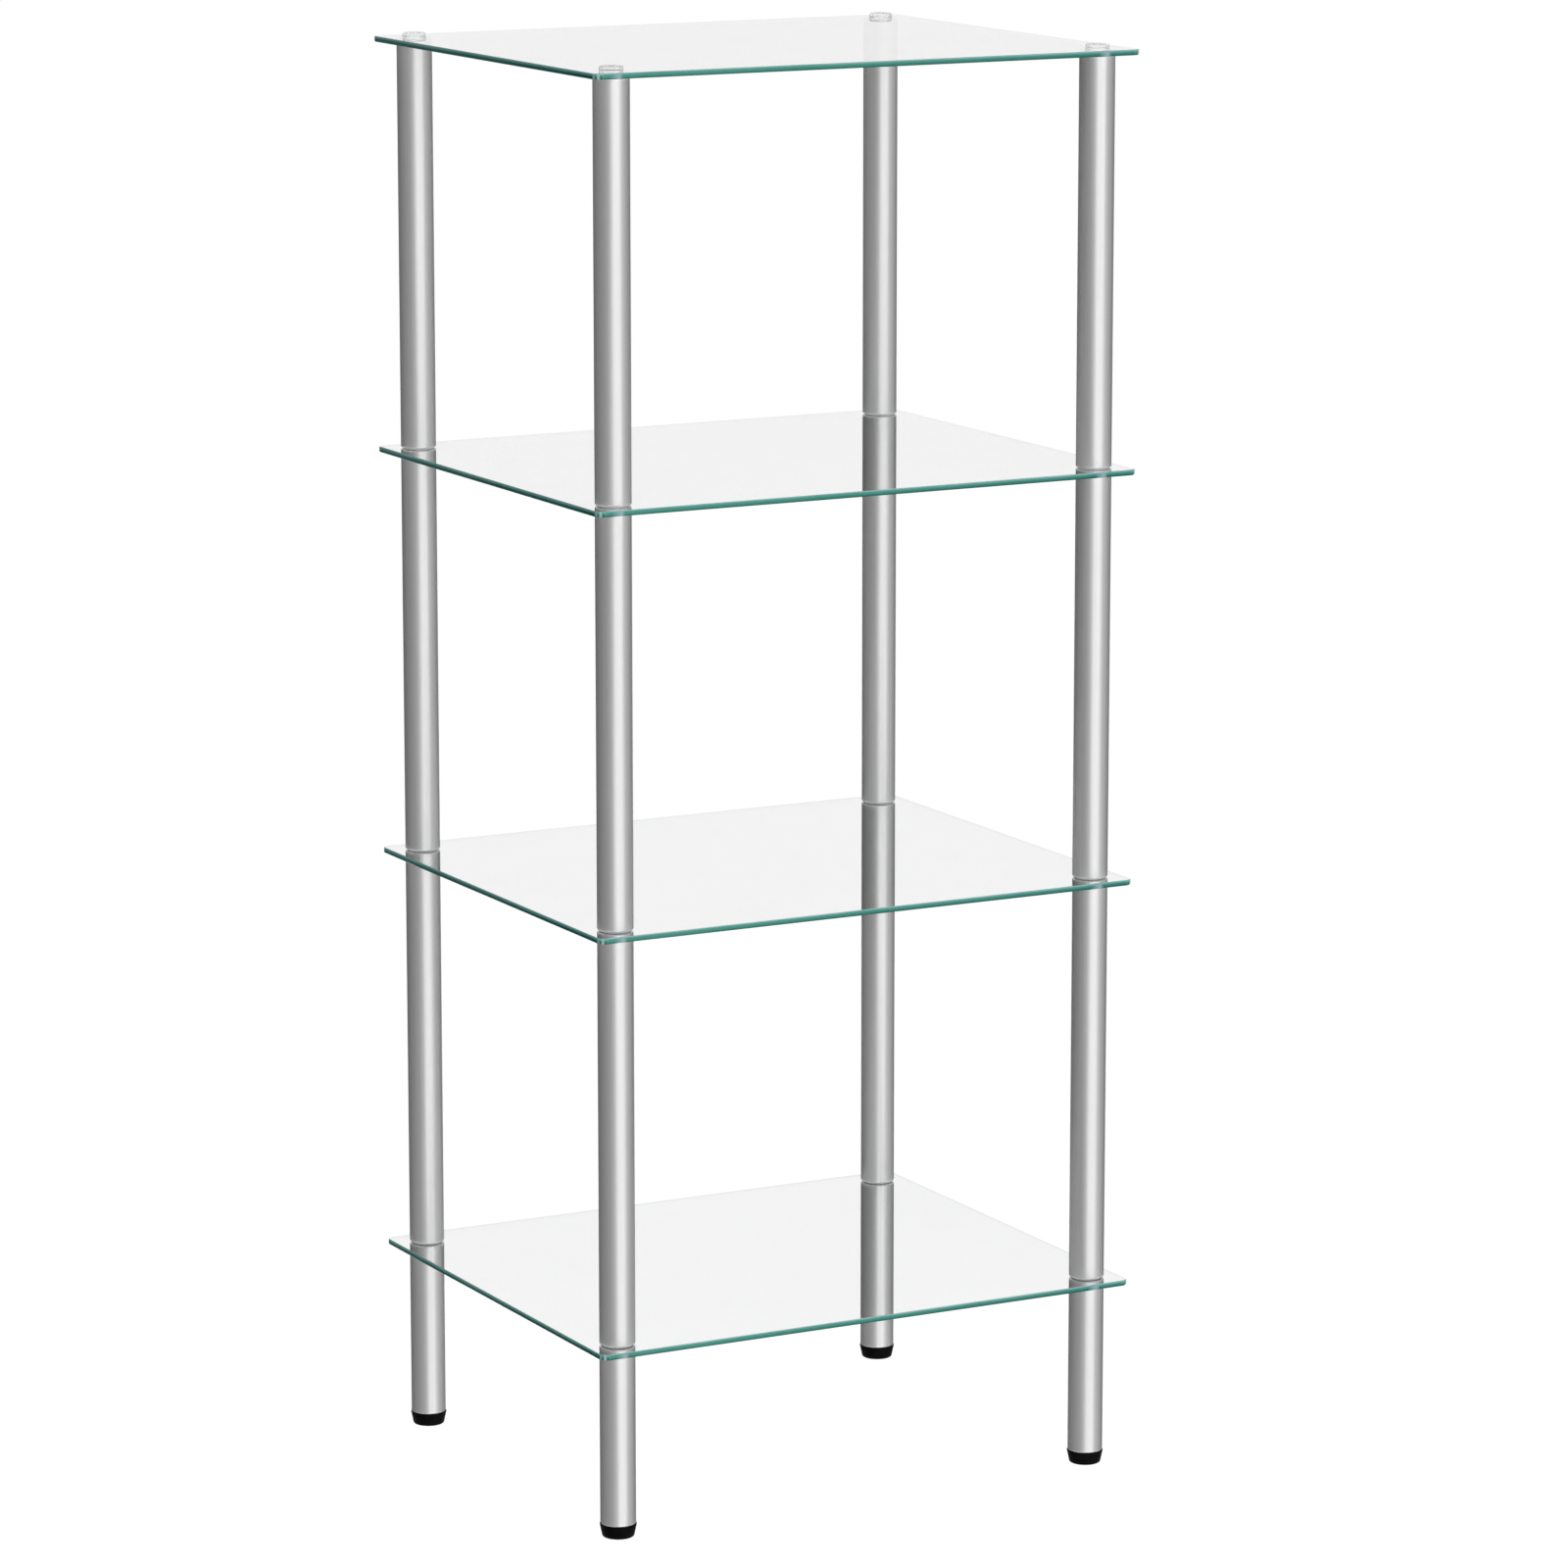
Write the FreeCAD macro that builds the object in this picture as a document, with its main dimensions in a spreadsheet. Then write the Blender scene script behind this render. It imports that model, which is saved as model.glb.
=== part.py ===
import FreeCAD, Part
import math
import os
import re
import Sketcher

# A free-standing glass etagere: four glass shelves clamped between runs of steel tube.
# The origin is on the floor under the middle of the shelves. X runs along the long edge of
# the shelves, the front is at -Y, and Z is up. All lengths are millimetres.

document = FreeCAD.newDocument("glass_etagere")

# Driving dimensions
sheet = document.addObject("Spreadsheet::Sheet", "sizes")
driving_sizes = (
    ("shelf_width", "420", "long edge of a glass shelf"),
    ("shelf_depth", "355", "short edge of a glass shelf"),
    ("glass_thickness", "4", "thickness of the glass"),
    ("shelf_corner_radius", "6", "rounding of the shelf corners, seen from above"),
    ("glass_arris", "0.4", "ground bevel along the shelf edges"),
    ("hole_inset", "22.5", "shelf edge to the middle of a corner hole"),
    ("tube_diameter", "25", "outside of every tube"),
    ("tube_wall", "0.8", "wall of every tube"),
    ("bend_inner_radius", "0.4", "inside of the bend where a tube end is rolled in"),
    ("lip_width", "1.5", "flat part of the rolled-in lip"),
    ("long_tube_length", "287", "tube between two shelves"),
    ("leg_tube_length", "123.8", "tube under the bottom shelf"),
    ("stud_diameter", "8", "thread of the joining studs and of the cap screws"),
    ("stud_engagement", "11", "length of stud held in one end plug"),
    ("stud_chamfer", "0.8", "bevel at the end of a thread"),
    ("stud_clearance", "0.2", "gap round a stud in a bush"),
    ("thread_clearance", "0.05", "gap round a stud in an end plug"),
    ("bush_wall", "1.55", "wall of the collar of a bush"),
    ("bush_flange", "0.5", "thickness of the flange between glass and tube"),
    ("bush_edge_gap", "0.1", "flange edge to the start of the bend of the tube end"),
    ("bush_gap", "0.4", "gap between the two collars that meet in a hole"),
    ("hole_clearance", "0.25", "gap round a collar in a hole of the glass"),
    ("plug_length", "14", "length of an end plug"),
    ("plug_clearance", "0.05", "gap round an end plug in its tube"),
    ("plug_lead_in", "0.6", "bevel at both ends of the thread of an end plug"),
    ("cap_head_diameter", "16.5", "head of a cap screw"),
    ("cap_head_height", "3", "height of the head above the glass"),
    ("cap_head_round", "1.2", "rounding of the upper edge of the head"),
    ("cap_dish_width", "9", "width of the hollow in the head"),
    ("cap_dish_depth", "0.7", "depth of the hollow in the head"),
    ("cap_engagement", "10", "length of cap screw held in an end plug"),
    ("foot_height", "9.2", "floor to the lower end of a leg tube"),
    ("foot_overhang", "0.5", "edge of the foot outside the tube"),
    ("foot_taper", "1.9", "how far the side of the foot leans in on its way down"),
    ("foot_sole_round", "1.2", "rounding of the lower edge of the foot"),
    ("foot_floor", "5", "solid thickness over the sole"),
    ("snap_clearance", "0.15", "gap round the neck of the foot in the mouth of the tube"),
    ("snap_catch", "0.5", "how far the barb reaches behind the lip"),
    ("snap_land", "1.5", "straight height of the barb"),
    ("stem_length", "9", "shoulder of the foot to the tip of its stem"),
    ("stem_tip_lead", "1.2", "how much further in than the mouth the tip is"),
    ("stem_wall", "2.6", "wall of the hollow stem at its tip"),
    ("stem_slot", "2.4", "width of the slots that let the stem spring in"),
)
for row, (alias, value, meaning) in enumerate(driving_sizes, start=1):
    sheet.set(f"A{row}", meaning)
    sheet.set(f"B{row}", value)
    sheet.setAlias(f"B{row}", alias)
document.recompute()

# Sizes that follow from the driving ones, as formulas in the words of the sheet
TUBE_RADIUS = "(tube_diameter / 2)"
TUBE_BORE_RADIUS = f"({TUBE_RADIUS} - tube_wall)"
LIP_RADIUS = f"({TUBE_BORE_RADIUS} - bend_inner_radius)"
MOUTH_RADIUS = f"({LIP_RADIUS} - lip_width)"
STUD_RADIUS = "(stud_diameter / 2)"
BUSH_BORE_RADIUS = f"({STUD_RADIUS} + stud_clearance)"
COLLAR_RADIUS = f"({BUSH_BORE_RADIUS} + bush_wall)"
COLLAR_LENGTH = "((glass_thickness - bush_gap) / 2)"
HOLE_RADIUS = f"({COLLAR_RADIUS} + hole_clearance)"
STUD_REACH = "(stud_engagement + tube_wall + bush_flange)"
CAP_REACH = "(cap_engagement + tube_wall + bush_flange)"
LEG_X = "(shelf_width / 2 - hole_inset)"
LEG_Y = "(shelf_depth / 2 - hole_inset)"
BOTTOM_GLASS = "(foot_height + leg_tube_length + bush_flange)"
TIER_PITCH = "(glass_thickness + 2 * bush_flange + long_tube_length)"

# Corners of the object, with the side that each is on in X and in Y
CORNERS = (
    ("front_left", -1, -1),
    ("front_right", 1, -1),
    ("back_left", -1, 1),
    ("back_right", 1, 1),
)
SHELVES = ("bottom", "lower", "upper", "top")
TUBE_TIERS = ("lower", "middle", "upper")

# Lengths closer than this are the same
TOLERANCE = 1e-5


def formula(text):
    """Put the name of the sheet before every word of a formula."""
    return re.sub(r"[a-z][a-z_]*", r"sizes.\g<0>", text)


def bind(target, quantity, text):
    """Tie a quantity of an object to a formula."""
    target.setExpression(quantity, formula(text))


def new_body(label):
    """Start a piece under its own name."""
    body = document.addObject("PartDesign::Body", label)
    body.Label = label
    return body


def new_sketch(body, name, role):
    """Start a sketch on one of the body's own origin planes."""
    sketch = body.newObject("Sketcher::SketchObject", f"{body.Name}_{name}")
    planes = [feature for feature in body.Origin.OriginFeatures if feature.Role == role]
    sketch.AttachmentSupport = [(planes[0], "")]
    sketch.MapMode = "FlatFace"
    return sketch


def dimension(sketch, kind, first, second, text):
    """Add a dimension between two points of a sketch and tie it to a formula."""
    number = sketch.addConstraint(Sketcher.Constraint(kind, *first, *second, 1.0))
    bind(sketch, f"Constraints[{number}]", text)


def set_point(sketch, point, across, up):
    """Fix a point of a sketch by its distances from the origin, or on an axis where one is 0."""
    origin = (-1, 1)
    if across == "0":
        sketch.addConstraint(Sketcher.Constraint("PointOnObject", *point, -2))
    else:
        dimension(sketch, "DistanceX", origin, point, across)
    if up == "0":
        sketch.addConstraint(Sketcher.Constraint("PointOnObject", *point, -1))
    else:
        dimension(sketch, "DistanceY", origin, point, up)


def draw_ring(sketch, count):
    """Draw a closed ring of lines, roughly, for the dimensions to pull into shape."""
    turn = 2 * math.pi / count
    points = [FreeCAD.Vector(math.cos(k * turn), math.sin(k * turn), 0) for k in range(count)]
    for k in range(count):
        sketch.addGeometry(Part.LineSegment(points[k], points[(k + 1) % count]), False)
    for k in range(count):
        sketch.addConstraint(Sketcher.Constraint("Coincident", k, 2, (k + 1) % count, 1))


def draw_rectangle(sketch, width, depth):
    """Draw a rectangle about the origin."""
    corners = ((-1, -1), (1, -1), (1, 1), (-1, 1))
    points = [FreeCAD.Vector(x, y, 0) for x, y in corners]
    for k in range(4):
        sketch.addGeometry(Part.LineSegment(points[k], points[(k + 1) % 4]), False)
    for k, direction in enumerate(("Horizontal", "Vertical", "Horizontal", "Vertical")):
        sketch.addConstraint(Sketcher.Constraint("Coincident", k, 2, (k + 1) % 4, 1))
        sketch.addConstraint(Sketcher.Constraint(direction, k))
    sketch.addConstraint(Sketcher.Constraint("Symmetric", 0, 1, 2, 1, -1, 1))
    dimension(sketch, "DistanceX", (0, 1), (0, 2), width)
    dimension(sketch, "DistanceY", (1, 1), (1, 2), depth)


def turned_body(label, corners):
    """Make a round piece by turning half of its section about the upright axis.

    Each corner of the section is a distance from the axis and a height over the lower end."""
    body = new_body(label)
    section = new_sketch(body, "section", "XZ_Plane")
    draw_ring(section, len(corners))
    for k, (across, up) in enumerate(corners):
        set_point(section, (k, 1), across, up)
    turned = body.newObject("PartDesign::Revolution", f"{body.Name}_turned")
    turned.Profile = section
    turned.ReferenceAxis = (section, ["V_Axis"])
    turned.Angle = 360
    document.recompute()
    return body


def rim_edges(body, corners):
    """Names of the round edges that the given corners of the section leave on the body."""
    section = body.Group[0]
    names = []
    for corner in corners:
        point = section.Geometry[corner].StartPoint
        for number, edge in enumerate(body.Tip.Shape.Edges, start=1):
            if not isinstance(edge.Curve, Part.Circle):
                continue
            same_radius = abs(edge.Curve.Radius - point.x) < TOLERANCE
            same_height = abs(edge.Curve.Center.z - point.y) < TOLERANCE
            if same_radius and same_height:
                names.append(f"Edge{number}")
    return names


def soften(body, kind, quantity, edges, text):
    """Round or bevel edges of a body by a size from the sheet."""
    base = body.Tip
    feature = body.newObject(f"PartDesign::{kind}", f"{body.Name}_{kind.lower()}")
    feature.Base = (base, edges)
    bind(feature, quantity, text)
    document.recompute()


def round_rims(body, corners, text):
    soften(body, "Fillet", "Radius", rim_edges(body, corners), text)


def bevel_rims(body, corners, text):
    soften(body, "Chamfer", "Size", rim_edges(body, corners), text)


def check_cut(body, uncut_volume):
    """Stop where a cut points away from the body and takes nothing off it."""
    document.recompute()
    if body.Shape.Volume >= uncut_volume:
        raise RuntimeError(f"a cut in {body.Label} takes nothing away")


def edges_where(shape, is_upright):
    """Names of the upright edges of a pane, or of its level ones."""
    names = []
    for number, edge in enumerate(shape.Edges, start=1):
        rise = abs(edge.Vertexes[0].Z - edge.Vertexes[-1].Z)
        if (rise > TOLERANCE) == is_upright:
            names.append(f"Edge{number}")
    return names


# Glass shelf: a toughened pane with rounded corners, ground edges and a hole near each corner
def glass_shelf(label):
    body = new_body(label)
    outline = new_sketch(body, "outline", "XY_Plane")
    draw_rectangle(outline, "shelf_width", "shelf_depth")
    pane = body.newObject("PartDesign::Pad", f"{body.Name}_pane")
    pane.Profile = outline
    bind(pane, "Length", "glass_thickness")
    document.recompute()
    soften(body, "Fillet", "Radius", edges_where(body.Tip.Shape, True), "shelf_corner_radius")
    soften(body, "Chamfer", "Size", edges_where(body.Tip.Shape, False), "glass_arris")

    holes = new_sketch(body, "holes", "XY_Plane")
    upward = FreeCAD.Vector(0, 0, 1)
    for side_x, side_y in ((1, 1), (-1, 1), (-1, -1), (1, -1)):
        holes.addGeometry(Part.Circle(FreeCAD.Vector(side_x, side_y, 0), upward, 0.5), False)
    set_point(holes, (0, 3), LEG_X, LEG_Y)
    for first, second, axis in ((0, 1, -2), (1, 2, -1), (0, 3, -1)):
        holes.addConstraint(Sketcher.Constraint("Symmetric", first, 3, second, 3, axis))
        holes.addConstraint(Sketcher.Constraint("Equal", first, second))
    radius = holes.addConstraint(Sketcher.Constraint("Radius", 0, 0.5))
    bind(holes, f"Constraints[{radius}]", HOLE_RADIUS)
    uncut_volume = body.Shape.Volume
    drilled = body.newObject("PartDesign::Pocket", f"{body.Name}_drilled")
    drilled.Profile = holes
    drilled.Type = "ThroughAll"
    drilled.Reversed = True
    check_cut(body, uncut_volume)
    return body


# Tube: thin steel, each end rolled in to a flat lip that presses on a bush
def tube(label, length):
    body = turned_body(label, (
        (MOUTH_RADIUS, "0"),
        (TUBE_RADIUS, "0"),
        (TUBE_RADIUS, length),
        (MOUTH_RADIUS, length),
        (MOUTH_RADIUS, f"{length} - tube_wall"),
        (TUBE_BORE_RADIUS, f"{length} - tube_wall"),
        (TUBE_BORE_RADIUS, "tube_wall"),
        (MOUTH_RADIUS, "tube_wall"),
    ))
    round_rims(body, (1, 2), "bend_inner_radius + tube_wall")
    round_rims(body, (5, 6), "bend_inner_radius")
    return body


# End plug: a threaded plug held behind the lip of a tube end
def end_plug(label):
    radius = f"({TUBE_BORE_RADIUS} - plug_clearance)"
    bore = f"({STUD_RADIUS} + thread_clearance)"
    body = turned_body(label, (
        (bore, "0"),
        (radius, "0"),
        (radius, "plug_length"),
        (bore, "plug_length"),
    ))
    round_rims(body, (1, 2), "bend_inner_radius + plug_clearance")
    bevel_rims(body, (0, 3), "plug_lead_in")
    return body


# Bush: a clear flange between tube end and glass, with a collar that centres it in the hole
def bush(label):
    flange = f"({LIP_RADIUS} - bush_edge_gap)"
    collar_end = f"bush_flange + {COLLAR_LENGTH}"
    return turned_body(label, (
        (BUSH_BORE_RADIUS, "0"),
        (flange, "0"),
        (flange, "bush_flange"),
        (COLLAR_RADIUS, "bush_flange"),
        (COLLAR_RADIUS, collar_end),
        (BUSH_BORE_RADIUS, collar_end),
    ))


# Joining stud: a threaded rod from the plug under a shelf, through the glass, to the plug on it
def joining_stud(label):
    length = f"2 * {STUD_REACH} + glass_thickness"
    body = turned_body(label, (
        ("0", "0"),
        (STUD_RADIUS, "0"),
        (STUD_RADIUS, length),
        ("0", length),
    ))
    bevel_rims(body, (1, 2), "stud_chamfer")
    return body


# Cap screw: a clear moulded screw with a dished round head, which holds the top shelf down
def cap_screw(label):
    seat = f"{CAP_REACH} + glass_thickness"
    head_top = f"{seat} + cap_head_height"
    head_radius = "cap_head_diameter / 2"
    body = turned_body(label, (
        ("0", "0"),
        (STUD_RADIUS, "0"),
        (STUD_RADIUS, f"{seat} - {COLLAR_LENGTH}"),
        (COLLAR_RADIUS, f"{seat} - {COLLAR_LENGTH}"),
        (COLLAR_RADIUS, seat),
        (head_radius, seat),
        (head_radius, head_top),
        ("cap_dish_width / 2", head_top),
        ("0", f"{head_top} - cap_dish_depth"),
    ))
    bevel_rims(body, (1,), "stud_chamfer")
    round_rims(body, (6,), "cap_head_round")
    return body


# Foot: a black moulded plug, tapered below the tube, whose slotted stem snaps behind the lip
def foot(label):
    rim = f"{TUBE_RADIUS} + foot_overhang"
    neck = f"{MOUTH_RADIUS} - snap_clearance"
    barb = f"{MOUTH_RADIUS} + snap_catch"
    catch = "foot_height + tube_wall + snap_clearance"
    tip = f"{MOUTH_RADIUS} - stem_tip_lead"
    tip_height = "foot_height + stem_length"
    body = turned_body(label, (
        ("0", "0"),
        (f"{rim} - foot_taper", "0"),
        (rim, "foot_height"),
        (neck, "foot_height"),
        (neck, catch),
        (barb, catch),
        (barb, f"{catch} + snap_land"),
        (tip, tip_height),
        (f"{tip} - stem_wall", tip_height),
        (f"{tip} - stem_wall", "foot_floor"),
        ("0", "foot_floor"),
    ))
    round_rims(body, (1,), "foot_sole_round")

    # one slot right across the stem, then a second one square to it
    across = new_sketch(body, "slot", "XY_Plane")
    bind(across, "AttachmentOffset.Base.z", tip_height)
    draw_rectangle(across, "tube_diameter", "stem_slot")
    uncut_volume = body.Shape.Volume
    slot = body.newObject("PartDesign::Pocket", f"{body.Name}_slotted")
    slot.Profile = across
    bind(slot, "Length", "stem_length")
    check_cut(body, uncut_volume)
    slotted_volume = body.Shape.Volume
    cross = body.newObject("PartDesign::PolarPattern", f"{body.Name}_cross")
    cross.Originals = [slot]
    cross.Axis = (across, ["N_Axis"])
    cross.Angle = 90
    cross.Occurrences = 2
    body.Tip = cross
    check_cut(body, slotted_volume)
    return body


def set_in_corner(body, corner, height):
    """Stand a piece on the axis of a leg, with its lower end at a height."""
    side_x, side_y = corner[1:]
    bind(body, "Placement.Base.x", f"{side_x} * {LEG_X}")
    bind(body, "Placement.Base.y", f"{side_y} * {LEG_Y}")
    bind(body, "Placement.Base.z", height)
    return body


def group(label, bodies):
    """Keep identical small pieces as separate solids under one name."""
    compound = document.addObject("Part::Compound", label)
    compound.Label = label
    compound.Links = bodies
    return compound


def glass_height(shelf):
    """Underside of the glass of a shelf, counted up from the bottom one."""
    return f"({BOTTOM_GLASS} + {shelf} * {TIER_PITCH})"


def plugs_at(label, height):
    """A set of end plugs, one at each corner."""
    plugs = []
    for corner in CORNERS:
        plug = end_plug(f"{label}_{corner[0]}")
        plugs.append(set_in_corner(plug, corner, height))
    return group(label, plugs)


def bushes_at(label, shelf, with_upper):
    """The bushes of one shelf, under the glass and, turned over, on top of it."""
    turned_over = FreeCAD.Rotation(FreeCAD.Vector(1, 0, 0), 180)
    bushes = []
    for corner in CORNERS:
        under = bush(f"{label}_under_{corner[0]}")
        bushes.append(set_in_corner(under, corner, f"{glass_height(shelf)} - bush_flange"))
        if with_upper:
            over = bush(f"{label}_over_{corner[0]}")
            over.Placement = FreeCAD.Placement(FreeCAD.Vector(0, 0, 0), turned_over)
            top = f"{glass_height(shelf)} + glass_thickness + bush_flange"
            bushes.append(set_in_corner(over, corner, top))
    return group(label, bushes)


def tubes_at(tier, length, height):
    """Four like tubes, one at each corner."""
    tubes = []
    for corner in CORNERS:
        piece = tube(f"{tier}_tube_{corner[0]}", length)
        tubes.append(set_in_corner(piece, corner, height))
    return tubes


subparts = []

# Feet and legs
for corner in CORNERS:
    subparts.append(set_in_corner(foot(f"foot_{corner[0]}"), corner, "0"))
subparts += tubes_at("leg", "leg_tube_length", "foot_height")
leg_end = "foot_height + leg_tube_length - tube_wall"
subparts.append(plugs_at("leg_tube_top_plugs", f"{leg_end} - plug_length"))

# Shelves with their bushes, where cap screws take the place of the bushes on the top one
for shelf, shelf_name in enumerate(SHELVES):
    pane = glass_shelf(f"glass_shelf_{shelf_name}")
    bind(pane, "Placement.Base.z", glass_height(shelf))
    subparts.append(pane)
    subparts.append(bushes_at(f"{shelf_name}_shelf_bushes", shelf, shelf_name != "top"))

# Tubes that stand on the three lower shelves, their end plugs, and the studs through the glass
for shelf, tier in enumerate(TUBE_TIERS):
    studs = []
    for corner in CORNERS:
        stud = joining_stud(f"{SHELVES[shelf]}_shelf_stud_{corner[0]}")
        studs.append(set_in_corner(stud, corner, f"{glass_height(shelf)} - {STUD_REACH}"))
    subparts.append(group(f"{SHELVES[shelf]}_shelf_studs", studs))
    tube_foot = f"{glass_height(shelf)} + glass_thickness + bush_flange"
    subparts += tubes_at(tier, "long_tube_length", tube_foot)
    subparts.append(plugs_at(f"{tier}_tube_bottom_plugs", f"{tube_foot} + tube_wall"))
    tube_end = f"{tube_foot} + long_tube_length - tube_wall"
    subparts.append(plugs_at(f"{tier}_tube_top_plugs", f"{tube_end} - plug_length"))

# Cap screws through the top shelf
top_glass = glass_height(SHELVES.index("top"))
for corner in CORNERS:
    cap = cap_screw(f"cap_screw_{corner[0]}")
    subparts.append(set_in_corner(cap, corner, f"{top_glass} - {CAP_REACH}"))

document.recompute()

# Every object has to be sound before anything is written
for item in document.Objects:
    if "Invalid" in item.State or "Error" in item.State:
        raise RuntimeError(f"{item.Label} failed: {item.State}")
for piece in subparts:
    if piece.Shape.isNull() or not piece.Shape.isValid():
        raise RuntimeError(f"{piece.Label} has no sound shape")

os.makedirs("parts", exist_ok=True)
for piece in subparts:
    piece.Shape.exportStep(f"parts/{piece.Label}.step")
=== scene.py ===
import math

import bmesh
import bpy
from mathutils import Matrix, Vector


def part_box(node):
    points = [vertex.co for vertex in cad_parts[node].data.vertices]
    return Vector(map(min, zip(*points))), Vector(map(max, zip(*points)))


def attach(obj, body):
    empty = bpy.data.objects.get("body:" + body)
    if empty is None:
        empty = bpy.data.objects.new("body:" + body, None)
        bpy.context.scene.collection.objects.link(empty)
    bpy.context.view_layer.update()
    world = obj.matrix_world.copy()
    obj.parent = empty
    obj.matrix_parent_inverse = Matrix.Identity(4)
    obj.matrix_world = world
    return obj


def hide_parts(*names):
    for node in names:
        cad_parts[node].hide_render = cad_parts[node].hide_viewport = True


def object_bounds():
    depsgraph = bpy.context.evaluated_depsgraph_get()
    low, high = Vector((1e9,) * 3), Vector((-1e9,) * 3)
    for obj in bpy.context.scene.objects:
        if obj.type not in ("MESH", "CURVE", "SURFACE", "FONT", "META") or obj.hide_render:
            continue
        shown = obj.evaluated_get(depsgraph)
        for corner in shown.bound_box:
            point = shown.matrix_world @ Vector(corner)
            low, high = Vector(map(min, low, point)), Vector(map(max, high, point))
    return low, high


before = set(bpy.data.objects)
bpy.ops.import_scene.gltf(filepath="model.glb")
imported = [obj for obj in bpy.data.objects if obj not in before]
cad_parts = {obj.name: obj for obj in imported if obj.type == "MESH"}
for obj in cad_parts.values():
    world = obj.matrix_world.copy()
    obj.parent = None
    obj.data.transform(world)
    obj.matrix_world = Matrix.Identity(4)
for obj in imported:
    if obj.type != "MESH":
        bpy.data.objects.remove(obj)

cad_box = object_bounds()


# Feet: four plugs moulded in hard black plastic, which carry the whole weight on rounded soles.
# Below the tube each one tapers in a straight line, and a stem with two crossed slots makes four
# fingers, whose barbs snap behind the rolled lip of the leg tube.
MM = 0.001
SAME_POINT = 0.002 * MM
ON_THE_RING = 0.02 * MM
CORNERS = ("front_left", "front_right", "back_left", "back_right")
FOOT_SIDES = 72
FOOT_CREASE = 32
FOOT_HEIGHT = 9.2 * MM
FOOT_TAPER = 1.9 * MM
FOOT_SOLE_ROUND = 1.2 * MM
FOOT_SOLE_STEPS = 8
FOOT_RIM_ROUND = 0.35 * MM
FOOT_RIM_STEPS = 4
FOOT_SOLE_RING = (6.2 * MM, 8.2 * MM)
FOOT_SOLE_DISH = 0.5 * MM
FOOT_FLOOR = 5 * MM
STEM_NECK_RADIUS = 9.65 * MM
STEM_BARB_RADIUS = 10.3 * MM
STEM_TIP_RADIUS = 8.6 * MM
STEM_BORE_RADIUS = 6 * MM
STEM_CATCH = FOOT_HEIGHT + 0.95 * MM
STEM_LAND = 1.5 * MM
STEM_SLOT = 2.4 * MM
PLASTIC_BLACK = (0.0025, 0.0025, 0.003, 1)
PLASTIC_BLACK_WORN = (0.006, 0.006, 0.0065, 1)
PLASTIC_SHINE = 0.02
PLASTIC_ROUGHNESS = (0.36, 0.50)
PLASTIC_GRAIN = 0.02 * MM
NOISE_SPAN = (0.25, 0.75)
BLEND_SPAN = (0.32, 0.68)


def middle(node):
    """The point half way between the corners of a node's box."""
    low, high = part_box(node)
    return (low + high) / 2


def turn(name, axis, rings, sides, start="NGON"):
    """Turns a piece about an upright axis: a disc, or an open hoop, drawn on from ring to ring."""
    radius, height = rings[0]
    bpy.ops.object.select_all(action="DESELECT")
    bpy.ops.mesh.primitive_circle_add(
        vertices=sides, radius=radius, fill_type=start, enter_editmode=True,
        location=(axis.x, axis.y, height))
    piece = bpy.context.object
    piece.name = name
    piece.data.name = name
    for next_radius, next_height in rings[1:]:
        bpy.ops.mesh.extrude_region_move(
            TRANSFORM_OT_translate={"value": (0, 0, next_height - height)})
        spread = next_radius / radius
        bpy.ops.transform.resize(
            value=(spread, spread, 1), center_override=(axis.x, axis.y, next_height))
        radius, height = next_radius, next_height
    bpy.ops.object.mode_set(mode="OBJECT")
    bpy.ops.object.transform_apply(location=True, rotation=True, scale=True)
    return piece


def on_ring(edge, axis, radius, height):
    """True for an edge of the ring with this radius and height about the axis."""
    for corner in edge.verts:
        reach = math.hypot(corner.co.x - axis.x, corner.co.y - axis.y)
        if abs(reach - radius) > ON_THE_RING or abs(corner.co.z - height) > ON_THE_RING:
            return False
    return True


def pick_edges(piece, wanted):
    """Goes into edit mode with only those edges of a piece selected that the test wants."""
    bpy.context.view_layer.objects.active = piece
    bpy.ops.object.mode_set(mode="EDIT")
    bpy.ops.mesh.select_mode(type="EDGE")
    bpy.ops.mesh.select_all(action="DESELECT")
    shape = bmesh.from_edit_mesh(piece.data)
    for edge in shape.edges:
        edge.select_set(wanted(edge))
    bmesh.update_edit_mesh(piece.data)


def round_ring(piece, axis, radius, height, size, steps):
    """Rounds the edge that runs round a turned piece at this radius and height."""
    pick_edges(piece, lambda edge: on_ring(edge, axis, radius, height))
    bpy.ops.mesh.bevel(
        offset=size, offset_type="OFFSET", segments=steps, profile=0.5, affect="EDGES")
    bpy.ops.object.mode_set(mode="OBJECT")


def combine(piece, other, how):
    """Cuts another shape out of a piece, adds it, or keeps what they share, and drops the other."""
    bpy.context.view_layer.objects.active = piece
    shaping = piece.modifiers.new("shaping", "BOOLEAN")
    shaping.operation = how
    shaping.solver = "EXACT"
    shaping.object = other
    bpy.ops.object.modifier_apply(modifier=shaping.name)
    bpy.data.objects.remove(other)


def smooth(piece, degrees):
    """Shades a piece smooth, with creases where its faces meet more sharply than this."""
    bpy.ops.object.select_all(action="DESELECT")
    piece.select_set(True)
    bpy.context.view_layer.objects.active = piece
    bpy.ops.object.mode_set(mode="EDIT")
    bpy.ops.mesh.select_all(action="SELECT")
    bpy.ops.mesh.remove_doubles(threshold=SAME_POINT)
    bpy.ops.mesh.normals_make_consistent(inside=False)
    bpy.ops.object.mode_set(mode="OBJECT")
    bpy.ops.object.shade_smooth_by_angle(angle=math.radians(degrees))


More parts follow.
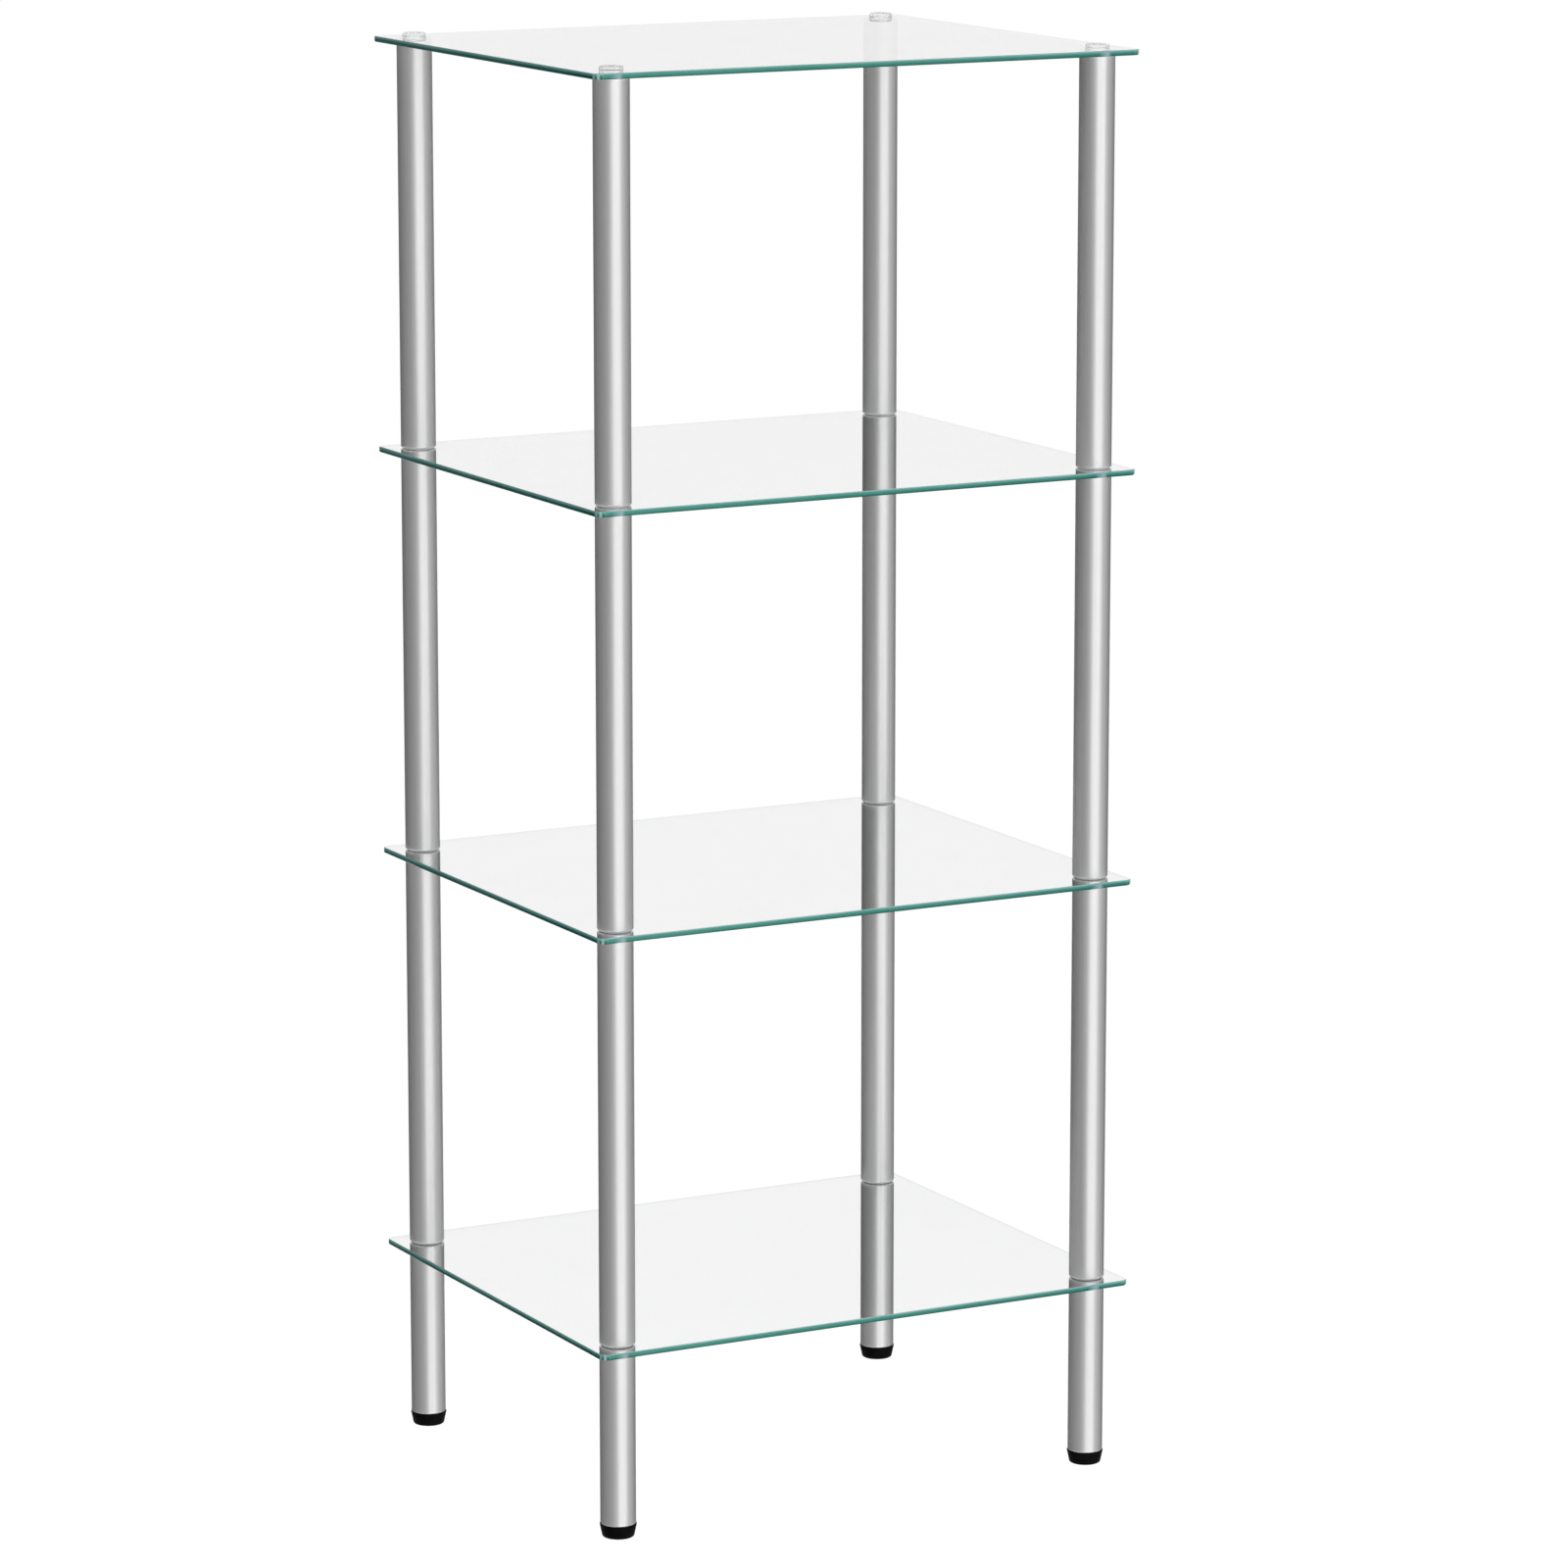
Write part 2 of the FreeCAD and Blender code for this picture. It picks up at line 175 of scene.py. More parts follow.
def copy_to(piece, name, shift):
    """Makes another of the same piece, with a mesh of its own, moved by this much."""
    bpy.ops.object.select_all(action="DESELECT")
    piece.select_set(True)
    bpy.context.view_layer.objects.active = piece
    bpy.ops.object.duplicate(linked=False)
    twin = bpy.context.object
    twin.name = name
    twin.data.name = name
    bpy.ops.transform.translate(value=shift)
    bpy.ops.object.transform_apply(location=True, rotation=True, scale=True)
    return twin


def assemble(first, name, shift, node):
    """Sets a piece, or under another name a copy moved by this much, in the place of its node."""
    piece = first
    if name != first.name:
        piece = copy_to(first, name, shift)
    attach(piece, "root")
    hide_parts(node)
    return piece


def new_group(name, inputs, outputs):
    """An empty shader group with these named inputs, each with its plain value, and outputs."""
    group = bpy.data.node_groups.new(name, "ShaderNodeTree")
    for label, value in inputs:
        kind = "NodeSocketVector" if value is None else "NodeSocketFloat"
        socket = group.interface.new_socket(label, in_out="INPUT", socket_type=kind)
        if value is not None:
            socket.default_value = value
    for label in outputs:
        group.interface.new_socket(label, in_out="OUTPUT", socket_type="NodeSocketFloat")
    return group, group.nodes.new("NodeGroupInput"), group.nodes.new("NodeGroupOutput")


# moulded skin: the fine spark grain of a moulding tool, and broad soft rubs over it
moulded_skin, skin_in, skin_out = new_group(
    "moulded_skin", (("Place", None), ("Grain", 2200.0), ("Rub", 90.0)), ("Grain", "Rub"))
for label, detail in (("Grain", 3), ("Rub", 5)):
    noise = moulded_skin.nodes.new("ShaderNodeTexNoise")
    noise.inputs["Detail"].default_value = detail
    moulded_skin.links.new(skin_in.outputs["Place"], noise.inputs["Vector"])
    moulded_skin.links.new(skin_in.outputs[label], noise.inputs["Scale"])
    moulded_skin.links.new(noise.outputs["Fac"], skin_out.inputs[label])


def new_finish(name):
    """A material, its nodes, its one Principled shader, and a point's place on the object."""
    material = bpy.data.materials.new(name)
    material.use_nodes = True
    tree = material.node_tree
    shader = tree.nodes["Principled BSDF"]
    place = tree.nodes.new("ShaderNodeTexCoord")
    return material, tree, shader, place.outputs["Object"]


def use_group(tree, group, place, **values):
    """Puts a shared effect into a material, with its own values."""
    node = tree.nodes.new("ShaderNodeGroup")
    node.node_tree = group
    tree.links.new(place, node.inputs["Place"])
    for label, value in values.items():
        node.inputs[label].default_value = value
    return node


def spread_over(tree, source, low, high):
    """Turns a soft noise into a range from low to high."""
    ranged = tree.nodes.new("ShaderNodeMapRange")
    ranged.inputs["From Min"].default_value = NOISE_SPAN[0]
    ranged.inputs["From Max"].default_value = NOISE_SPAN[1]
    ranged.inputs["To Min"].default_value = low
    ranged.inputs["To Max"].default_value = high
    tree.links.new(source, ranged.inputs["Value"])
    return ranged.outputs["Result"]


def colour_steps(tree, source, steps):
    """A colour that runs through these steps, each a level and a colour, as a value rises."""
    ramp = tree.nodes.new("ShaderNodeValToRGB")
    first, second = ramp.color_ramp.elements
    first.position, first.color = steps[0]
    second.position, second.color = steps[-1]
    for level, colour in steps[1:-1]:
        ramp.color_ramp.elements.new(level).color = colour
    tree.links.new(source, ramp.inputs["Fac"])
    return ramp.outputs["Color"]


def blend_colours(tree, source, first, second):
    """A colour from the first to the second, as a soft noise rises."""
    return colour_steps(tree, source, ((BLEND_SPAN[0], first), (BLEND_SPAN[1], second)))


def rub_over(tree, shader, skin, colours, roughness):
    """Lets the rubs of a moulded skin vary a finish between two colours and in its roughness."""
    rubs = skin.outputs["Rub"]
    tree.links.new(blend_colours(tree, rubs, *colours), shader.inputs["Base Color"])
    tree.links.new(spread_over(tree, rubs, *roughness), shader.inputs["Roughness"])


def emboss(tree, source, shader, height):
    """Raises a surface by a value, as much as this height, for its highlights."""
    bump = tree.nodes.new("ShaderNodeBump")
    bump.inputs["Strength"].default_value = 1
    bump.inputs["Distance"].default_value = height
    tree.links.new(source, bump.inputs["Height"])
    tree.links.new(bump.outputs["Normal"], shader.inputs["Normal"])


black_plastic, tree, shader, place = new_finish("black_moulded_plastic")
shader.inputs["Specular IOR Level"].default_value = PLASTIC_SHINE
skin = use_group(tree, moulded_skin, place, Grain=2600.0, Rub=120.0)
rub_over(tree, shader, skin, (PLASTIC_BLACK, PLASTIC_BLACK_WORN), PLASTIC_ROUGHNESS)
emboss(tree, skin.outputs["Grain"], shader, PLASTIC_GRAIN)

foot_low, foot_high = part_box("foot_front_left")
foot_axis = middle("foot_front_left")
foot_rim = (foot_high.x - foot_low.x) / 2
foot_sole = foot_rim - FOOT_TAPER
foot_base = foot_low.z
foot = turn("black_foot_front_left", foot_axis, (
    (FOOT_SOLE_RING[0], foot_base + FOOT_SOLE_DISH),
    (FOOT_SOLE_RING[1], foot_base),
    (foot_sole, foot_base),
    (foot_rim, foot_base + FOOT_HEIGHT),
    (STEM_NECK_RADIUS, foot_base + FOOT_HEIGHT),
    (STEM_NECK_RADIUS, foot_base + STEM_CATCH),
    (STEM_BARB_RADIUS, foot_base + STEM_CATCH),
    (STEM_BARB_RADIUS, foot_base + STEM_CATCH + STEM_LAND),
    (STEM_TIP_RADIUS, foot_high.z),
    (STEM_BORE_RADIUS, foot_high.z),
    (STEM_BORE_RADIUS, foot_base + FOOT_FLOOR),
), FOOT_SIDES)
round_ring(foot, foot_axis, foot_sole, foot_base, FOOT_SOLE_ROUND, FOOT_SOLE_STEPS)
round_ring(foot, foot_axis, foot_rim, foot_base + FOOT_HEIGHT, FOOT_RIM_ROUND, FOOT_RIM_STEPS)
slot_length = 3 * foot_rim
slot_height = 2 * (foot_high.z - foot_base - FOOT_HEIGHT)
for slot_x, slot_y in ((slot_length, STEM_SLOT), (STEM_SLOT, slot_length)):
    bpy.ops.mesh.primitive_cube_add(
        size=1, location=(foot_axis.x, foot_axis.y, foot_high.z),
        scale=(slot_x, slot_y, slot_height))
    combine(foot, bpy.context.object, "DIFFERENCE")
smooth(foot, FOOT_CREASE)
foot.data.materials.append(black_plastic)
for corner in CORNERS:
    node = "foot_" + corner
    assemble(foot, "black_" + node, middle(node) - foot_axis, node)


# Tubes: sixteen lengths of drawn steel tube, four short ones as legs and four between each pair
# of shelves. Both ends of each are rolled inwards to a narrow lip, which the rolling burnishes to a
# glossier finish, and the rest has a satin silver finish, whose fine grain lies along the drawing
# lines of the steel. Near each end the silver is also painted paler, as a painted highlight for
# the white floor that the lip mirrors.
TUBE_SIDES = 96
TUBE_CREASE = 40
TUBE_WALL = 0.8 * MM
TUBE_BEND = 1.2 * MM
TUBE_BEND_STEPS = 8
TUBE_BURNISH_AND_HIGHLIGHT = 2.0 * MM
TUBE_MOUTH_RADIUS = 9.8 * MM
SILVER = (0.51, 0.51, 0.513, 1)
SILVER_PALE = (0.55, 0.55, 0.553, 1)
# painted highlight: the paler colour of the rolled ends, for the white floor that they mirror
SILVER_PAINTED_HIGHLIGHT = (0.86, 0.86, 0.862, 1)
SILVER_EDGE = (0.60, 0.60, 0.605, 1)
SILVER_METAL = 0.7
SILVER_ROUGHNESS = (0.38, 0.46)
SILVER_STREAK = 0.004 * MM
BURNISHED_GLOSS = -0.16

# drawn lines: thin streaks along the length of drawn metal, and a fine sparkle of flakes
drawn_lines, lines_in, lines_out = new_group(
    "drawn_lines", (("Place", None), ("Across", 900.0), ("Along", 6.0), ("Flake", 5200.0)),
    ("Streak", "Flake"))
stretch = drawn_lines.nodes.new("ShaderNodeVectorMath")
stretch.operation = "MULTIPLY"
widths = drawn_lines.nodes.new("ShaderNodeCombineXYZ")
streaks = drawn_lines.nodes.new("ShaderNodeTexNoise")
streaks.inputs["Scale"].default_value = 1
streaks.inputs["Detail"].default_value = 4
flakes = drawn_lines.nodes.new("ShaderNodeTexNoise")
flakes.inputs["Detail"].default_value = 1
for axis_name, label in (("X", "Across"), ("Y", "Across"), ("Z", "Along")):
    drawn_lines.links.new(lines_in.outputs[label], widths.inputs[axis_name])
drawn_lines.links.new(lines_in.outputs["Place"], stretch.inputs[0])
drawn_lines.links.new(widths.outputs["Vector"], stretch.inputs[1])
drawn_lines.links.new(stretch.outputs["Vector"], streaks.inputs["Vector"])
drawn_lines.links.new(lines_in.outputs["Place"], flakes.inputs["Vector"])
drawn_lines.links.new(lines_in.outputs["Flake"], flakes.inputs["Scale"])
drawn_lines.links.new(streaks.outputs["Fac"], lines_out.inputs["Streak"])
drawn_lines.links.new(flakes.outputs["Fac"], lines_out.inputs["Flake"])


def painted(tree, label):
    """The value that a piece's mesh carries under this name."""
    mark = tree.nodes.new("ShaderNodeAttribute")
    mark.attribute_name = label
    return mark.outputs["Fac"]


def mix_colours(tree, amount, first, second):
    """A colour from the first to the second, each plain or a socket, as an amount goes to 1."""
    mixed = tree.nodes.new("ShaderNodeMix")
    mixed.data_type = "RGBA"
    tree.links.new(amount, mixed.inputs["Factor"])
    for socket, colour in (("A", first), ("B", second)):
        if isinstance(colour, tuple):
            mixed.inputs[socket].default_value = colour
        else:
            tree.links.new(colour, mixed.inputs[socket])
    return mixed.outputs["Result"]


silver, tree, shader, place = new_finish("satin_silver")
shader.inputs["Metallic"].default_value = SILVER_METAL
shader.inputs["Specular Tint"].default_value = SILVER_EDGE
lines = use_group(tree, drawn_lines, place)
# Near the rolled ends the finish is glossier, where the rolling burnishes it, and painted paler: a
# painted highlight for the white floor that the lips mirror.
burnish_and_highlight = painted(tree, "burnish_and_highlight")
satin = blend_colours(tree, lines.outputs["Streak"], SILVER, SILVER_PALE)
bright = blend_colours(tree, lines.outputs["Streak"], SILVER_PALE, SILVER_PAINTED_HIGHLIGHT)
tree.links.new(mix_colours(tree, burnish_and_highlight, satin, bright), shader.inputs["Base Color"])
gloss = tree.nodes.new("ShaderNodeMath")
gloss.operation = "MULTIPLY_ADD"
gloss.inputs[1].default_value = BURNISHED_GLOSS
tree.links.new(burnish_and_highlight, gloss.inputs[0])
tree.links.new(spread_over(tree, lines.outputs["Flake"], *SILVER_ROUGHNESS), gloss.inputs[2])
tree.links.new(gloss.outputs["Value"], shader.inputs["Roughness"])
emboss(tree, lines.outputs["Streak"], shader, SILVER_STREAK)


def rolled_tube(name, node):
    """A tube standing in its node's place, with both ends rolled in to the lip and an even wall."""
    low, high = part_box(node)
    axis = middle(node)
    radius = (high.x - low.x) / 2
    bpy.ops.object.select_all(action="DESELECT")
    bpy.ops.mesh.primitive_cylinder_add(
        vertices=TUBE_SIDES, radius=radius, depth=high.z - low.z, end_fill_type="NOTHING",
        location=axis)
    piece = bpy.context.object
    piece.name = name
    piece.data.name = name
    bpy.ops.object.transform_apply(location=True, rotation=True, scale=True)
    lip = TUBE_MOUTH_RADIUS / radius
    for end in (low.z, high.z):
        pick_edges(piece, lambda edge: on_ring(edge, axis, radius, end))
        bpy.ops.mesh.extrude_region_move(TRANSFORM_OT_translate={"value": (0, 0, 0)})
        bpy.ops.transform.resize(value=(lip, lip, 1), center_override=(axis.x, axis.y, end))
        bpy.ops.object.mode_set(mode="OBJECT")
        round_ring(piece, axis, radius, end, TUBE_BEND, TUBE_BEND_STEPS)
    bpy.ops.object.mode_set(mode="EDIT")
    for height in (low.z + TUBE_BURNISH_AND_HIGHLIGHT, high.z - TUBE_BURNISH_AND_HIGHLIGHT):
        bpy.ops.mesh.select_all(action="SELECT")
        bpy.ops.mesh.bisect(plane_co=(0, 0, height), plane_no=(0, 0, 1))
    bpy.ops.object.mode_set(mode="OBJECT")
    smooth(piece, TUBE_CREASE)
    wall = piece.modifiers.new("wall", "SOLIDIFY")
    wall.thickness = TUBE_WALL
    wall.offset = -1
    wall.use_even_offset = True
    bpy.ops.object.modifier_apply(modifier=wall.name)
    bpy.ops.object.shade_smooth_by_angle(angle=math.radians(TUBE_CREASE))
    # Marks the rolled ends, for their glossier finish and their painted highlight.
    marks = piece.data.attributes.new("burnish_and_highlight", "FLOAT", "POINT")
    for point, mark in zip(piece.data.vertices, marks.data):
        from_end = min(point.co.z - low.z, high.z - point.co.z)
        mark.value = max(0, 1 - from_end / TUBE_BURNISH_AND_HIGHLIGHT)
    piece.data.materials.append(silver)
    return piece


for tier in ("leg", "lower", "middle", "upper"):
    first_node = f"{tier}_tube_front_left"
    first_tube = rolled_tube("silver_" + first_node, first_node)
    for corner in CORNERS:
        node = f"{tier}_tube_{corner}"
        shift = middle(node) - middle(first_node)
        assemble(first_tube, "silver_" + node, shift, node)


# End plugs: turned nylon plugs pressed into the tubes behind the rolled lips, with a threaded bore
# for the studs. They are out of sight once the shelf unit is put together, so the solids of the
# frame stay and take a milky nylon finish.
NYLON = (0.78, 0.77, 0.73, 1)
NYLON_WARM = (0.70, 0.68, 0.62, 1)
NYLON_MILK = 0.2
NYLON_DEPTH = (4 * MM, 4 * MM, 3.5 * MM)
NYLON_ROUGHNESS = (0.40, 0.55)
NYLON_GRAIN = 0.03 * MM
nylon, tree, shader, place = new_finish("milky_nylon")
shader.inputs["Subsurface Weight"].default_value = NYLON_MILK
shader.inputs["Subsurface Radius"].default_value = NYLON_DEPTH
skin = use_group(tree, moulded_skin, place, Grain=1500.0, Rub=160.0)
rub_over(tree, shader, skin, (NYLON, NYLON_WARM), NYLON_ROUGHNESS)
emboss(tree, skin.outputs["Grain"], shader, NYLON_GRAIN)
for name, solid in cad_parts.items():
    if name.endswith("_plugs"):
        solid.data.materials.clear()
        solid.data.materials.append(nylon)


# Glass shelves: four panes of clear float glass with rounded corners and a drilled hole near each.
# The edges are ground flat, with a narrow arris, and there the eye looks along the whole pane, so
# that the slight green of the glass gathers to a deep teal. Their light and shade is painted into
# that colour: dark and pale bands for what the faces mirror, painted shade on the short edges and
# towards one end of each long edge, painted glints round the front corners, a paler back half,
# and painted gleams where a tube shows through an edge.
SHELVES = ("bottom", "lower", "upper", "top")
PANE_CREASE = 20
PANE_CORNER = 6 * MM
PANE_CORNER_STEPS = 18
PANE_ARRIS = 0.4 * MM
PANE_HOLE_RADIUS = 6 * MM
PANE_HOLE_NEAR = 1.5 * PANE_HOLE_RADIUS
PANE_HOLE_SIDES = 48
PANE_FACE_UPRIGHT = 0.99
GLASS_IOR = 1.52
GLASS_CLEAR = (0.875, 0.882, 0.880, 1)
GLASS_CLEARER = (0.893, 0.899, 0.897, 1)
GLASS_LIGHT = (0.97, 0.98, 0.977, 1)
GLASS_ROUGHNESS = (0.0, 0.012)
EDGE_SEEN_THROUGH = (0.80, 0.84, 0.83, 1)
EDGE_SHINE = 0.05
EDGE_ROUGHNESS = (0.16, 0.28)
EDGE_UNEVEN = (-0.07, 0.07)
# Painted light on the edges: bands of painted glint and shade round the corners, painted shade
# towards one end of each long edge, a paler back half, and painted gleams where a tube shows
# through.
EDGE_BANDS = 10
EDGE_DIM = 0.5
EDGE_PALE = 0.14
EDGE_GLINT = (0.44, 0.75, 0.70, 1)
EDGE_PAINTED_GLEAM = (0.35, 0.53, 0.56, 1)
EDGE_MARKS = ("edge_rise", "edge_band", "edge_glint", "edge_painted_gleam")
GLEAM_ASIDE = 5 * MM
GLEAM_REACH = 7 * MM
# Colours up an edge, from its lower face to the arris: a dark lower band, a lighter upper band and
# a pale arris, painted in for what the faces mirror. The short edges take darker colours, as
# painted shade.
LONG_EDGE = (
    (0.08, (0.030, 0.165, 0.130, 1)),
    (0.40, (0.085, 0.330, 0.270, 1)),
    (0.78, (0.100, 0.380, 0.320, 1)),
    (0.96, (0.500, 0.740, 0.710, 1)),
)
SHORT_EDGE = (
    (0.10, (0.006, 0.105, 0.083, 1)),
    (0.46, (0.010, 0.135, 0.108, 1)),
    (0.60, (0.095, 0.330, 0.300, 1)),
    (0.96, (0.330, 0.610, 0.590, 1)),
)


def let_light_through(tree, shader, tint):
    """Lets the lamps shine through a clear material, so that it casts no dark shadow."""
    path = tree.nodes.new("ShaderNodeLightPath")
    clear = tree.nodes.new("ShaderNodeBsdfTransparent")
    clear.inputs["Color"].default_value = tint
    either = tree.nodes.new("ShaderNodeMixShader")
    tree.links.new(path.outputs["Is Shadow Ray"], either.inputs["Fac"])
    tree.links.new(shader.outputs[0], either.inputs[1])
    tree.links.new(clear.outputs["BSDF"], either.inputs[2])
    tree.links.new(either.outputs["Shader"], tree.nodes["Material Output"].inputs["Surface"])


glass, tree, shader, place = new_finish("clear_float_glass")
shader.inputs["Transmission Weight"].default_value = 1
shader.inputs["IOR"].default_value = GLASS_IOR
shader.inputs["Coat Weight"].default_value = 1
shader.inputs["Coat Roughness"].default_value = 0
skin = use_group(tree, moulded_skin, place, Grain=40.0, Rub=7.0)
clear = blend_colours(tree, skin.outputs["Rub"], GLASS_CLEAR, GLASS_CLEARER)
tree.links.new(clear, shader.inputs["Base Color"])
haze = spread_over(tree, skin.outputs["Grain"], *GLASS_ROUGHNESS)
tree.links.new(haze, shader.inputs["Roughness"])
let_light_through(tree, shader, GLASS_LIGHT)

ground_edge, tree, shader, place = new_finish("ground_glass_edge")
shader.inputs["Specular IOR Level"].default_value = EDGE_SHINE
skin = use_group(tree, moulded_skin, place, Grain=60.0, Rub=18.0)
level = tree.nodes.new("ShaderNodeMath")
level.operation = "ADD"
tree.links.new(painted(tree, "edge_rise"), level.inputs[0])
tree.links.new(spread_over(tree, skin.outputs["Rub"], *EDGE_UNEVEN), level.inputs[1])
short_edge = colour_steps(tree, level.outputs["Value"], SHORT_EDGE)
long_edge = colour_steps(tree, level.outputs["Value"], LONG_EDGE)
# The edge's colour carries its painted light: darker short edges, bands round the corners, glints
# and gleams.
banded = mix_colours(tree, painted(tree, "edge_band"), short_edge, long_edge)
glinting = mix_colours(tree, painted(tree, "edge_glint"), banded, EDGE_GLINT)
gleaming = mix_colours(tree, painted(tree, "edge_painted_gleam"), glinting, EDGE_PAINTED_GLEAM)
tree.links.new(gleaming, shader.inputs["Base Color"])
ground = spread_over(tree, skin.outputs["Grain"], *EDGE_ROUGHNESS)
tree.links.new(ground, shader.inputs["Roughness"])
facing = tree.nodes.new("ShaderNodeNewGeometry")
from_inside = tree.nodes.new("ShaderNodeBsdfTransparent")
from_inside.inputs["Color"].default_value = EDGE_SEEN_THROUGH
both_sides = tree.nodes.new("ShaderNodeMixShader")
tree.links.new(facing.outputs["Backfacing"], both_sides.inputs["Fac"])
tree.links.new(shader.outputs["BSDF"], both_sides.inputs[1])
tree.links.new(from_inside.outputs["BSDF"], both_sides.inputs[2])
let_light_through(tree, both_sides, GLASS_LIGHT)


def edge_marks(point, low, high, spots):
    """What the edge's colour needs at a point: its rise, its painted band of light and shade, its
    painted glint and its painted gleam.
    """
    core_x = min(max(point.x, low.x + PANE_CORNER), high.x - PANE_CORNER)
    core_y = min(max(point.y, low.y + PANE_CORNER), high.y - PANE_CORNER)
    heading = math.atan2(point.y - core_y, point.x - core_x)
    # Round each corner the edge is painted in bands of light and shade; the long edges are painted
    # light and the short edges dark.
    lightness = 0.5 - 0.5 * math.cos(EDGE_BANDS * heading)
    rise = (point.z - low.z) / (high.z - low.z)
    # The long edges are painted darker towards one end, as painted shade: the right end of the
    # front and the left end of the back.
    along = (point.x - low.x) / (high.x - low.x)
    # Painted glints round the front corners, and the back half of the edge painted a little paler.
    glint = lightness * abs(math.sin(2 * heading))
    if point.y >= 0:
        along = 1 - along
        glint = EDGE_PALE
    # Painted gleams on the long edges, a little to one side of each hole, where a tube's highlight
    # shows through the glass.
    gleam = 0
    for across, side in spots:
        on_edge = point.y * side > 0 and abs(point.y) > high.y - 2 * PANE_ARRIS
        if on_edge and abs(point.x - across) < PANE_ARRIS:
            gleam = 1
    return rise, lightness * (1 - EDGE_DIM * along), glint, gleam


def at_hole(face, holes):
    """True for a face in or close round one of the drilled holes."""
    reaches = [math.hypot(face.center.x - hole.x, face.center.y - hole.y) for hole in holes]
    return min(reaches) < PANE_HOLE_NEAR


def glass_pane(name, node, holes):
    """A pane in its node's place: corners rounded, edges ground, holes drilled, edges marked."""
    low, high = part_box(node)
    size = high - low
    bpy.ops.object.select_all(action="DESELECT")
    bpy.ops.mesh.primitive_cube_add(size=1, location=(low + high) / 2, scale=size)
    pane = bpy.context.object
    pane.name = name
    pane.data.name = name
    bpy.ops.object.transform_apply(location=True, rotation=True, scale=True)
    pick_edges(pane, lambda edge: abs(edge.verts[0].co.z - edge.verts[1].co.z) > size.z / 2)
    bpy.ops.mesh.bevel(
        offset=PANE_CORNER, offset_type="OFFSET", segments=PANE_CORNER_STEPS, profile=0.5,
        affect="EDGES")
    pick_edges(pane, lambda edge: abs(edge.verts[0].co.z - edge.verts[1].co.z) < size.z / 2)
    bpy.ops.mesh.bevel(offset=PANE_ARRIS, offset_type="OFFSET", segments=1, affect="EDGES")
    # Cuts for the painted gleams, which sit a little to one side of each hole.
    spots = [(hole.x + math.copysign(GLEAM_ASIDE, hole.y), hole.y) for hole in holes]
    for spot, _ in spots:
        for across in (spot - GLEAM_REACH, spot, spot + GLEAM_REACH):
            bpy.ops.mesh.select_all(action="SELECT")
            bpy.ops.mesh.bisect(plane_co=(across, 0, 0), plane_no=(1, 0, 0))
    bpy.ops.object.mode_set(mode="OBJECT")
    for hole in holes:
        bpy.ops.mesh.primitive_cylinder_add(
            vertices=PANE_HOLE_SIDES, radius=PANE_HOLE_RADIUS, depth=3 * size.z,
            location=(hole.x, hole.y, (low.z + high.z) / 2))
        combine(pane, bpy.context.object, "DIFFERENCE")
    smooth(pane, PANE_CREASE)
    pane.data.materials.append(glass)
    pane.data.materials.append(ground_edge)
    for face in pane.data.polygons:
        if abs(face.normal.z) < PANE_FACE_UPRIGHT and not at_hole(face, holes):
            face.material_index = 1
    marks = [edge_marks(point.co, low, high, spots) for point in pane.data.vertices]
    for label, values in zip(EDGE_MARKS, zip(*marks)):
        pane.data.attributes.new(label, "FLOAT", "POINT").data.foreach_set("value", values)
    return pane


pane_holes = [middle("foot_" + corner) for corner in CORNERS]
first_pane = glass_pane("glass_pane_bottom", "glass_shelf_bottom", pane_holes)
for shelf in SHELVES:
    node = "glass_shelf_" + shelf
    shift = middle(node) - middle("glass_shelf_bottom")
    assemble(first_pane, "glass_pane_" + shelf, shift, node)


# Bushes: clear plastic rings with a flange between tube end and glass, and a collar that centres
# stud or screw in the drilled hole, so that no metal touches the glass. One sits under each hole of
# a shelf, and on the three lower shelves another one, turned over, sits on top.
BUSH_SIDES = 64
BUSH_CREASE = 30
BUSH_BORE_RADIUS = 4.2 * MM
BUSH_COLLAR_RADIUS = 5.75 * MM
BUSH_COLLAR = 1.8 * MM
BUSH_FLANGE = 0.5 * MM
BUSH_RIM_ROUND = 0.15 * MM
BUSH_RIM_STEPS = 3
BUSH_LEAD_IN = 0.3 * MM
BUSH_CLEAR = (0.97, 0.975, 0.977, 1)
BUSH_DULL = (0.93, 0.936, 0.94, 1)
BUSH_THROUGH = 0.5
BUSH_SHADED = (0.46, 0.465, 0.47, 1)
BUSH_SHADED_DULL = (0.36, 0.365, 0.37, 1)
BUSH_SHADED_THROUGH = 1
MOULDING_IOR = 1.49
MOULDING_ROUGHNESS = (0.03, 0.10)


def clear_moulding(name, clear, dull, through, body=1):
    """A see-through plastic, clear or a little dull, that lets this share of the light through."""
    material, tree, shader, place = new_finish(name)
    shader.inputs["Transmission Weight"].default_value = through
    shader.inputs["Alpha"].default_value = body
    shader.inputs["IOR"].default_value = MOULDING_IOR
    skin = use_group(tree, moulded_skin, place, Grain=600.0, Rub=120.0)
    rub_over(tree, shader, skin, (clear, dull), MOULDING_ROUGHNESS)
    let_light_through(tree, shader, clear)
    return material


over_plastic = clear_moulding("clear_bush_plastic", BUSH_CLEAR, BUSH_DULL, BUSH_THROUGH)
# The bushes under the three lower shelves take a darker copy of the clear plastic, as painted shade
# under the pane; those under the top shelf keep the clear one.
under_plastic = clear_moulding(
    "shaded_bush_plastic", BUSH_SHADED, BUSH_SHADED_DULL, BUSH_SHADED_THROUGH)


